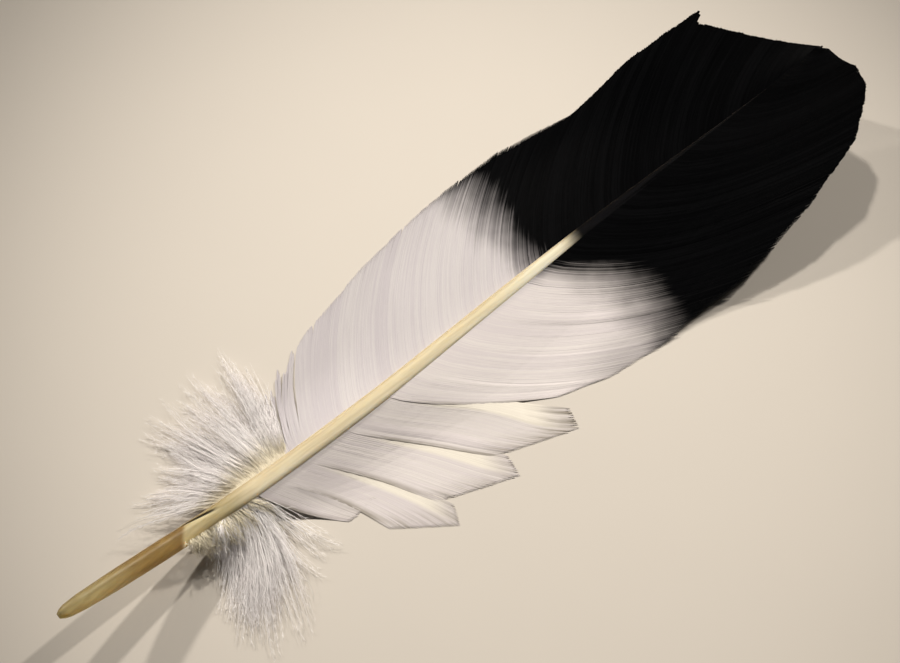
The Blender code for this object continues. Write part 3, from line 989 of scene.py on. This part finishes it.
def barb_material(settings, dye_edge, grain):
    """Barbs: white with lilac streaks, the left white painted darker as shade, a painted cream highlight and
    painted shadow beside each slit, darker streaked lock tips, then black with lighter streaks of painted
    sheen, each barb with a tone of its own.
    """
    material, tree, shader = new_material("barbs", 0.5, 0.015)
    uv = tree.nodes.new("ShaderNodeUVMap")
    uv.uv_map = "barb_map"
    tone = attribute_node(tree, "tone")
    fine = group_node(tree, grain, Barb_Map=uv.outputs[0], Depth=1.0)
    position = object_position(tree)
    dye = group_node(
        tree, dye_edge, Position=position, Barb_Shift=attribute_node(tree, "dye_shift"),
        Start=settings.dye_start, Softness=settings.dye_softness, Streaks=settings.dye_streaks,
    )
    shade = math_node(tree, "ADD", math_node(tree, "MULTIPLY", tone, 0.16), fine.outputs["Streak"])
    light = ease_node(tree, shade, 0.2, 0.85)
    split = tree.nodes.new("ShaderNodeSeparateXYZ")
    tree.links.new(position, split.inputs[0])
    # The left white is painted darker than the right, as shade.
    shaded_left_side = ease_node(tree, split.outputs[1], -0.002, 0.002)
    clean = mix_colour(tree, shaded_left_side, settings.right_white, settings.left_shaded_white)
    streaky = mix_colour(tree, 1.0, clean, settings.streak_tint, "MULTIPLY")
    fresh = mix_colour(tree, light, streaky, clean)
    streaked = ease_node(tree, fine.outputs["Streak"], 0.3, 0.6, 0.4, 1.0)
    # Darker streaks at the locks' tips, and painted shadow along a web's rear edge behind each slit.
    darkening_and_shadow_mask = math_node(tree, "MULTIPLY", attribute_node(tree, "grime"), streaked)
    # Painted highlight on the cream rim before each slit.
    rim_highlighted = mix_colour(tree, attribute_node(tree, "pale"), fresh, settings.slit_highlight)
    white = mix_colour(tree, darkening_and_shadow_mask, rim_highlighted, settings.grime)
    # Lighter streaks in the black are painted sheen.
    black = mix_colour(tree, light, settings.black, settings.black_painted_sheen)
    colour = mix_colour(tree, dye.outputs["Dyed"], white, black)
    tree.links.new(colour, shader.inputs["Base Color"])
    rough = ease_node(tree, dye.outputs["Dyed"], 0.0, 1.0, 0.62, 0.42)
    tree.links.new(rough, shader.inputs["Roughness"])
    bump_into(tree, shader, fine.outputs["Height"], 0.000025)
    return material


def down_material(settings):
    """Down: matt off-white, each plume with a tone of its own; the short fuzz by the quill's end is painted
    olive as painted shade of the quill's yellowish shadow, and the left down is darker and yellower at its
    roots.
    """
    material, tree, shader = new_material("down", 0.85, 0.2)
    cloud = noise_node(tree, object_position(tree), 160.0, 2.0)
    shade = math_node(tree, "ADD", math_node(tree, "MULTIPLY", attribute_node(tree, "tone"), 0.12), cloud)
    light = ease_node(tree, shade, 0.15, 0.85)
    colour = mix_colour(tree, light, settings.shaded_colour, settings.colour)
    # The short fuzz painted olive as the quill's yellowish shadow, and the left down's darker, yellower
    # roots.
    colour = mix_colour(tree, attribute_node(tree, "darker_tint"), colour, settings.tint_and_shade_colour)
    tree.links.new(colour, shader.inputs["Base Color"])
    return material


def horn_material(settings):
    """Horn: olive at the quill's point, amber above it, brown where the quill ends, then ivory, and black.

    Fine fibres run along it. The left flank is darker, partly painted shade and partly the thick horn's
    deeper colour; the quill's right flank is painted lighter, as a painted glow of light through the horn,
    and the shaft's right flank a little; and the pit is painted nearly black, as painted shade.
    """
    material, tree, shader = new_material("horn", 0.5, 0.02)
    position = object_position(tree)
    split = tree.nodes.new("ShaderNodeSeparateXYZ")
    tree.links.new(position, split.inputs[0])
    along = math_node(tree, "MULTIPLY", math_node(tree, "ADD", split.outputs[0], -QUILL_X * MM), 1.0 / MM)
    across = math_node(tree, "ADD", split.outputs[1], -QUILL_Y * MM)
    fibre = noise_node(tree, stretch_node(tree, position, (30.0, 900.0, 900.0)), 1.0, 4.0, 0.6)
    cloud = noise_node(tree, position, 60.0, 3.0)
    wander = math_node(tree, "MULTIPLY", math_node(tree, "ADD", cloud, -0.5), HORN_WANDER)
    wandering = math_node(tree, "ADD", along, wander)
    slanted = math_node(tree, "SUBTRACT", along, math_node(tree, "MULTIPLY", across, HORN_SLANT / MM))
    slanted = math_node(tree, "ADD", slanted, math_node(tree, "MULTIPLY", wander, SLANT_WANDER))

    colour = settings.olive
    for name, span in HORN_STEPS.items():
        place_along = slanted if name == "cream" else wandering
        colour = mix_colour(tree, ease_node(tree, place_along, *span), colour, getattr(settings, name))
    black_end = ease_node(tree, wandering, *HORN_BLACK)
    colour = mix_colour(tree, black_end, colour, settings.black)
    colour = mix_colour(tree, ease_node(tree, fibre, 0.35, 0.75, 0.0, 0.35), colour, FIBRE_TINT, "MULTIPLY")
    # Painted shade on the left flank, partly the thick horn's deeper colour; painted glow on the right flank,
    # strongest on the quill.
    flank = attribute_node(tree, "flank")
    colour = mix_colour(tree, ease_node(tree, flank, 0.3, 0.9), colour, settings.flank_shade_and_tint, "MULTIPLY")
    painted_glow = ease_node(tree, along, *PAINTED_GLOW_SPAN, settings.quill_painted_glow, SHAFT_PAINTED_GLOW)
    colour = mix_colour(tree, ease_node(tree, flank, -0.9, 0.1, 1.0, 0.0), colour, painted_glow, "MULTIPLY")
    # The pit is painted nearly black, as painted shade.
    in_pit = ease_node(tree, attribute_node(tree, "pit"), 0.1, 0.7)
    colour = mix_colour(tree, in_pit, colour, settings.pit)
    tree.links.new(colour, shader.inputs["Base Color"])

    matt_end = math_node(tree, "MULTIPLY", black_end, 0.4)
    rough = math_node(tree, "ADD", ease_node(tree, fibre, 0.3, 0.8, 0.36, 0.54), matt_end)
    tree.links.new(rough, shader.inputs["Roughness"])
    tree.links.new(ease_node(tree, black_end, 0.0, 1.0, settings.polish, 0.0), shader.inputs["Coat Weight"])
    shader.inputs["Coat Roughness"].default_value = 0.34
    shader.inputs["Subsurface Weight"].default_value = 1.0
    shader.inputs["Subsurface Radius"].default_value = (1.0, 0.92, 0.75)
    shader.inputs["Subsurface Scale"].default_value = settings.glow
    bump_into(tree, shader, fibre, 0.00008)
    return material


# What every colour that a user can change has in common.
COLOUR = {"size": 3, "min": 0.0, "max": 1.0, "subtype": "COLOR"}


class ShaftSettings(bpy.types.PropertyGroup):
    """Sizes and colours of the horn shaft."""

    pit_depth: bpy.props.FloatProperty(
        name="Pit depth", description="Depth of the pit where the quill ends",
        default=0.0009, min=0.0, max=0.002, unit="LENGTH")
    glow: bpy.props.FloatProperty(
        name="Glow", description="How far light spreads inside the horn",
        default=0.005, min=0.0, max=0.05, precision=4, unit="LENGTH")
    polish: bpy.props.FloatProperty(
        name="Polish", description="Weight of the gloss on the undyed horn", default=0.3, min=0.0, max=1.0)
    olive: bpy.props.FloatVectorProperty(
        name="Point", description="Colour at the quill's point",
        default=(0.37, 0.31, 0.16), **COLOUR)
    amber: bpy.props.FloatVectorProperty(
        name="Quill", description="Colour of the upper quill",
        default=(0.27, 0.185, 0.07), **COLOUR)
    brown: bpy.props.FloatVectorProperty(
        name="Quill end", description="Colour where the quill ends",
        default=(0.21, 0.135, 0.055), **COLOUR)
    cream: bpy.props.FloatVectorProperty(
        name="Base", description="Colour of the shaft's base, by the down",
        default=(0.47, 0.41, 0.25), **COLOUR)
    ivory: bpy.props.FloatVectorProperty(
        name="Shaft", description="Colour of the shaft along the white vanes",
        default=(0.76, 0.69, 0.52), **COLOUR)
    pale: bpy.props.FloatVectorProperty(
        name="Upper shaft", description="Colour of the shaft just before the black",
        default=(0.85, 0.80, 0.65), **COLOUR)
    black: bpy.props.FloatVectorProperty(
        name="Dyed shaft", description="Colour of the shaft in the black end",
        default=(0.006, 0.006, 0.007), **COLOUR)
    # Painted glow along the quill's right flank, standing in for light through the horn.
    quill_painted_glow: bpy.props.FloatProperty(
        name="Quill glow", description="How much lighter the quill is along its right flank",
        default=2.3, min=1.0, max=3.0)
    # Painted shade on the lit left flank, partly the thick horn's deeper colour.
    flank_shade_and_tint: bpy.props.FloatVectorProperty(
        name="Flank", description="Tint of the thick horn along the left flank",
        default=(0.52, 0.47, 0.41), **COLOUR)
    # Painted shade: the near-black colour in the pit.
    pit: bpy.props.FloatVectorProperty(
        name="Pit", description="Colour in the pit",
        default=(0.035, 0.026, 0.014), **COLOUR)


class VaneSettings(bpy.types.PropertyGroup):
    """Sizes and colours of the vanes' barbs."""

    barb_spacing: bpy.props.FloatProperty(
        name="Barb spacing", description="Distance between barbs along the shaft",
        default=0.0004, min=0.0002, max=0.002, precision=5, unit="LENGTH")
    barb_thickness: bpy.props.FloatProperty(
        name="Barb thickness", description="Thickness of a barb",
        default=0.00013, min=0.00005, max=0.001, precision=5, unit="LENGTH")
    overlap: bpy.props.FloatProperty(
        name="Overlap", description="A barb's width as a share of its distance to the next",
        default=1.45, min=0.5, max=3.0)
    barb_tilt: bpy.props.FloatProperty(
        name="Barb tilt", description="How far each barb is rolled, like a slat",
        default=math.radians(9.0), subtype="ANGLE")
    parting: bpy.props.FloatProperty(
        name="Parting", description="How far the locks of the vane part from one another",
        default=0.18, min=0.0, max=1.0)
    clump_width: bpy.props.FloatProperty(
        name="Lock width", description="Width of the locks that barbs gather in, along the shaft",
        default=0.0055, min=0.001, max=0.03, precision=4, unit="LENGTH")
    # The left white is lilac and painted darker than the right, as shade.
    left_shaded_white: bpy.props.FloatVectorProperty(
        name="Left white", description="Colour of the white barbs on the left",
        default=(0.62, 0.597, 0.615), **COLOUR)
    right_white: bpy.props.FloatVectorProperty(
        name="Right white", description="Colour of the white barbs on the right",
        default=(0.835, 0.795, 0.79), **COLOUR)
    # Colour of the darker streaks at the locks' tips and of the painted shadow behind each slit.
    grime: bpy.props.FloatVectorProperty(
        name="Grime", description="Colour of the dirty streaks at the split locks' tips",
        default=(0.30, 0.27, 0.23), **COLOUR)
    # Painted highlight: the colour of the lit cream rim beside a slit.
    slit_highlight: bpy.props.FloatVectorProperty(
        name="Slit rim", description="Colour of the cream barbs beside a slit",
        default=(0.93, 0.885, 0.80), **COLOUR)
    streak_tint: bpy.props.FloatVectorProperty(
        name="Streaks", description="Tint of the darker streaks in the white",
        default=(0.90, 0.885, 0.92), **COLOUR)
    black: bpy.props.FloatVectorProperty(
        name="Black", description="Colour of the dyed barbs",
        default=(0.0009, 0.0010, 0.0013), **COLOUR)
    # Painted sheen: the lighter streaks in the black stand in for its gloss.
    black_painted_sheen: bpy.props.FloatVectorProperty(
        name="Worn black", description="Colour of the lighter streaks in the black",
        default=(0.0028, 0.0030, 0.0036), **COLOUR)
    dye_start: bpy.props.FloatProperty(
        name="Dye start", description="Where the black begins, from the quill's point",
        default=0.1860, min=0.0, max=0.31, precision=4, unit="LENGTH")
    dye_softness: bpy.props.FloatProperty(
        name="Dye softness", description="Length over which a barb goes from white to black",
        default=0.014, min=0.001, max=0.05, precision=4, unit="LENGTH")
    dye_streaks: bpy.props.FloatProperty(
        name="Dye streaks", description="How unevenly barbs have taken the dye",
        default=0.0016, min=0.0, max=0.02, precision=4, unit="LENGTH")


class DownSettings(bpy.types.PropertyGroup):
    """Sizes and colours of the down."""

    wisps: bpy.props.IntProperty(
        name="Wisps", description="Wisps in a tuft", default=84, min=4, max=400)
    hairs: bpy.props.IntProperty(
        name="Hairs", description="Hairs in a wisp", default=12, min=1, max=60)
    hair_rings: bpy.props.IntProperty(
        name="Hair rings", description="Rings along a hair", default=14, min=4, max=40)
    barbules: bpy.props.IntProperty(
        name="Barbules", description="Barbules in a tuft", default=4500, min=0, max=8000)
    barbule_length: bpy.props.FloatProperty(
        name="Barbule length", description="Length of the longest barbules",
        default=0.0030, min=0.0005, max=0.01, precision=4, unit="LENGTH")
    hair_thickness: bpy.props.FloatProperty(
        name="Hair thickness", description="Thickness of a hair at its root",
        default=0.00014, min=0.00002, max=0.001, precision=5, unit="LENGTH")
    colour: bpy.props.FloatVectorProperty(
        name="Down", description="Colour of the down",
        default=(0.97, 0.95, 0.96), **COLOUR)
    # Painted on the short fuzz as the quill's yellowish shadow, and on the left down's darker, yellower
    # roots.
    tint_and_shade_colour: bpy.props.FloatVectorProperty(
        name="Stained down", description="Colour of the short down by the quill's end",
        default=(0.74, 0.68, 0.53), **COLOUR)
    shaded_colour: bpy.props.FloatVectorProperty(
        name="Shaded down", description="Colour of the darker plumes",
        default=(0.90, 0.87, 0.88), **COLOUR)


class StageSettings(bpy.types.PropertyGroup):
    """The table and the lights."""

    floor_colour: bpy.props.FloatVectorProperty(
        name="Table", description="Colour of the table",
        default=(0.70, 0.655, 0.60), **COLOUR)
    lamp_colour: bpy.props.FloatVectorProperty(
        name="Lamp colour", description="Colour of the lamps' light",
        default=(1.0, 0.93, 0.83), **COLOUR)
    lamp_power: bpy.props.FloatProperty(
        name="Lamp power", description="Power of each of the three lamps, for each square metre of its reach",
        default=25.5, min=0.0)
    lamp_size: bpy.props.FloatProperty(
        name="Lamp size", description="Width of each lamp", default=0.07, min=0.01, unit="LENGTH")
    pool: bpy.props.FloatProperty(
        name="Pool of light", description="How far from the middle each lamp's light reaches",
        default=0.25, min=0.05, unit="LENGTH")
    fill: bpy.props.FloatProperty(
        name="Fill", description="Strength of the soft light from all round", default=0.03, min=0.0)


def shaft_part(pit_depth):
    """The shaft's vertices and faces, and for each vertex how deep in the pit it is and how far to the left.

    Rings stand along s. Each is a superellipse that grows boxier beyond the quill, with fine ribs
    along it, and a pit, a bell curve across a line that slants over its top.
    """
    s = np.linspace(0.0, SHAFT_LENGTH, SHAFT_RINGS)
    width, depth = shaft_size(s)
    power = ROUND_POWER + (BOXY_POWER - ROUND_POWER) * passed(s, *BOXY_SPAN)
    squash = 2.0 / power[:, None]
    turn = np.arange(SHAFT_SIDES) * 2 * np.pi / SHAFT_SIDES
    across = np.sign(np.cos(turn)) * np.abs(np.cos(turn)) ** squash
    top = np.sign(np.sin(turn)) * np.abs(np.sin(turn)) ** squash
    ribs = 1.0 + RIB_HEIGHT * np.sin(RIBS * turn) * passed(s, *RIBS_SPAN)[:, None]
    pit_turn = (PIT_TURN + PIT_SLANT * (s - PIT_TURN_AT))[:, None]
    pit = np.exp(-(((s - PIT_AT) / PIT_REACH) ** 4))[:, None]
    pit = pit * np.exp(-(((turn - pit_turn) / PIT_SPREAD) ** 2))
    y = QUILL_Y + (sway(s) - SHAFT_ASIDE * width)[:, None] + across * ribs * width[:, None] / 2
    z = (under_shaft(s) + depth / 2)[:, None] + top * ribs * depth[:, None] / 2 - pit_depth * pit
    x = np.broadcast_to((QUILL_X + s)[:, None], y.shape)
    shell = np.stack([x, y, z], axis=-1)[None]
    ends = [shell[:, 0].mean(axis=1), shell[:, -1].mean(axis=1)]
    fields = {"pit": pit, "flank": across}
    attributes = {name: np.append(field.ravel(), [0.0, 0.0]) for name, field in fields.items()}
    return close_shells(shell, *ends), attributes


class FEATHER_OT_shaft(bpy.types.Operator):
    """Build the horn shaft, from the quill's point to the black end"""

    bl_idname = "feather.shaft"
    bl_label = "Shaft"

    def execute(self, context):
        settings = context.scene.feather_shaft
        part, attributes = shaft_part(settings.pit_depth / MM)
        material = horn_material(settings)
        make_piece("horn_shaft", part, material, "shaft", "shaft_horn", attributes=attributes)
        return {"FINISHED"}


class FEATHER_OT_vanes(bpy.types.Operator):
    """Build both vanes barb by barb, with the split locks on the right"""

    bl_idname = "feather.vanes"
    bl_label = "Vanes"

    def execute(self, context):
        settings = context.scene.feather_vane
        material = barb_material(settings, dye_edge_group(), barb_grain_group())
        left = barb_web(LEFT_VANE, 1.0, LEFT_DROOP, settings, np.random.default_rng(11), LEFT_SWEEP)
        make_piece("left_barbs", left[0], material, "left_vane", "vane_barbs", *left[1:])
        ragged = np.random.default_rng(12)
        lift = (VANE_LIFT_REACH, REAR_LIFT)
        webs = [barb_web(RIGHT_VANE, -1.0, RIGHT_DROOP, settings, ragged, RIGHT_SWEEP, lift)]
        for lock, darker_tint, depth in zip(SPLIT_LOCKS, LOCK_TIP_DARKENING, LOCK_DEPTHS):
            lift = (lock[1][0] - lock[0][0], REAR_LIFT)
            webs.append(barb_web(lock, -1.0, RIGHT_DROOP, settings, ragged, 0.0, lift, darker_tint, depth))
        right = join_webs(webs)
        make_piece("right_barbs", right[0], material, "right_vane", "vane_barbs", *right[1:])
        return {"FINISHED"}


class FEATHER_OT_down(bpy.types.Operator):
    """Build the two tufts of down at the base"""

    bl_idname = "feather.down"
    bl_label = "Down"

    def execute(self, context):
        settings = context.scene.feather_down
        material = down_material(settings)
        part, fields = down_wisps(LEFT_DOWN, LEFT_CROWD, 1.0, settings, np.random.default_rng(21))
        make_piece("left_plumes", part, material, "left_down", "down", attributes=fields, smooth=False)
        ragged = np.random.default_rng(22)
        plumes, plume_fields = down_wisps(RIGHT_DOWN, RIGHT_CROWD, -1.0, settings, ragged)
        # The short fuzz is painted olive all along, as the quill's yellowish shadow.
        fuzz, fuzz_fields = down_wisps(BASE_FUZZ, FUZZ_CROWD, -1.0, settings, ragged, 1.0)
        part = join_parts([plumes, fuzz])
        fields = {name: np.concatenate([plume_fields[name], fuzz_fields[name]]) for name in fuzz_fields}
        make_piece("right_plumes", part, material, "right_down", "down", attributes=fields, smooth=False)
        return {"FINISHED"}


# The three lamps: how far each is to the right of the middle of their light, beyond it, and above the
# table, in millimetres, and its share of the lamp power.
LAMPS = ((939.0, 975.0, 850.0, 0.9), (-149.0, 975.0, 850.0, 1.0), (-1144.0, 975.0, 850.0, 1.08))
# The middle of their light: to the right of what the camera looks at, and beyond it.
POOL_MIDDLE = (22.0, -35.0)
FLOOR_HALF = 3.0
DARKER_PAPER = 0.95


def picture_axes():
    """The picture's right, and its up laid flat on the table, as unit vectors in the frame."""
    turn = math.radians(SHAFT_TURN)
    return Vector((math.cos(turn), -math.sin(turn), 0.0)), Vector((math.sin(turn), math.cos(turn), 0.0))


class FEATHER_OT_stage(bpy.types.Operator):
    """Add the camera, the pale table and the lamps"""

    bl_idname = "feather.stage"
    bl_label = "Stage"

    def execute(self, context):
        settings = context.scene.feather_stage
        right, ahead = picture_axes()
        target = Vector(CAMERA_TARGET) * MM
        steep = math.radians(CAMERA_ELEVATION)
        view = ahead * math.cos(steep) - Vector((0.0, 0.0, math.sin(steep)))
        up = ahead * math.sin(steep) + Vector((0.0, 0.0, math.cos(steep)))
        camera = bpy.data.objects.new("camera", bpy.data.cameras.new("camera"))
        context.scene.collection.objects.link(camera)
        camera.data.lens = LENS
        camera.data.clip_start = 0.01
        camera.matrix_world = Matrix.Translation(target - view * CAMERA_DISTANCE * MM) @ Matrix(
            (right, up, -view)
        ).transposed().to_4x4()
        context.scene.camera = camera
        context.scene.view_settings.view_transform = "Standard"

        for number, (across, beyond, height, share) in enumerate(LAMPS):
            away = (right * across + ahead * beyond + Vector((0, 0, height))) * MM
            lamp = bpy.data.lights.new(f"lamp_{number}", "SPOT")
            lamp.shadow_soft_size = settings.lamp_size / 2
            lamp.energy = settings.lamp_power * share * away.length_squared
            lamp.color = settings.lamp_colour
            lamp.spot_size = 2 * math.atan(settings.pool / away.length)
            lamp.spot_blend = 1.0
            holder = bpy.data.objects.new(lamp.name, lamp)
            context.scene.collection.objects.link(holder)
            middle = target + (right * POOL_MIDDLE[0] + ahead * POOL_MIDDLE[1]) * MM
            holder.location = middle + away
            holder.rotation_euler = (-away).to_track_quat("-Z", "Y").to_euler()

        world = bpy.data.worlds.new("room")
        world.use_nodes = True
        world.node_tree.nodes["Background"].inputs["Color"].default_value = (1.0, 0.96, 0.90, 1.0)
        world.node_tree.nodes["Background"].inputs["Strength"].default_value = settings.fill
        context.scene.world = world

        material, tree, shader = new_material("table", 0.6, 0.2)
        paper = noise_node(tree, object_position(tree), 35.0, 4.0)
        colour = mix_colour(
            tree, ease_node(tree, paper, 0.3, 0.7, 0.0, 0.12),
            settings.floor_colour, [DARKER_PAPER * part for part in settings.floor_colour],
        )
        tree.links.new(colour, shader.inputs["Base Color"])
        corners = np.array([(-1, -1, 0), (1, -1, 0), (1, 1, 0), (-1, 1, 0)], float) * FLOOR_HALF
        mesh = bpy.data.meshes.new("table")
        mesh.from_pydata(corners.tolist(), [], [(0, 1, 2, 3)])
        mesh.materials.append(material)
        table = bpy.data.objects.new("table", mesh)
        context.scene.collection.objects.link(table)
        return {"FINISHED"}


class VIEW3D_PT_feather(bpy.types.Panel):
    """The feather's sizes, colours and pieces"""

    bl_label = "Feather"
    bl_space_type = "VIEW_3D"
    bl_region_type = "UI"
    bl_category = "Feather"

    def draw(self, context):
        for operator, group in OPERATORS:
            box = self.layout.box()
            settings = getattr(context.scene, group)
            for name in settings.bl_rna.properties.keys():
                if name not in ("rna_type", "name"):
                    box.prop(settings, name)
            box.operator(operator.bl_idname)


OPERATORS = (
    (FEATHER_OT_shaft, "feather_shaft"),
    (FEATHER_OT_vanes, "feather_vane"),
    (FEATHER_OT_down, "feather_down"),
    (FEATHER_OT_stage, "feather_stage"),
)
SETTINGS = (
    ("feather_shaft", ShaftSettings),
    ("feather_vane", VaneSettings),
    ("feather_down", DownSettings),
    ("feather_stage", StageSettings),
)


def register():
    """Registers the settings, each on the scene, the operators and the panel."""
    for name, group in SETTINGS:
        bpy.utils.register_class(group)
        setattr(bpy.types.Scene, name, bpy.props.PointerProperty(type=group))
    for operator, _ in OPERATORS:
        bpy.utils.register_class(operator)
    bpy.utils.register_class(VIEW3D_PT_feather)


def unregister():
    """Takes away all that register adds, in the opposite order."""
    bpy.utils.unregister_class(VIEW3D_PT_feather)
    for operator, _ in reversed(OPERATORS):
        bpy.utils.unregister_class(operator)
    for name, group in reversed(SETTINGS):
        delattr(bpy.types.Scene, name)
        bpy.utils.unregister_class(group)


def main():
    """Builds the feather and its stage."""
    register()
    bpy.ops.feather.shaft()
    bpy.ops.feather.vanes()
    bpy.ops.feather.down()
    bpy.ops.feather.stage()


if __name__ == "__main__":
    main()
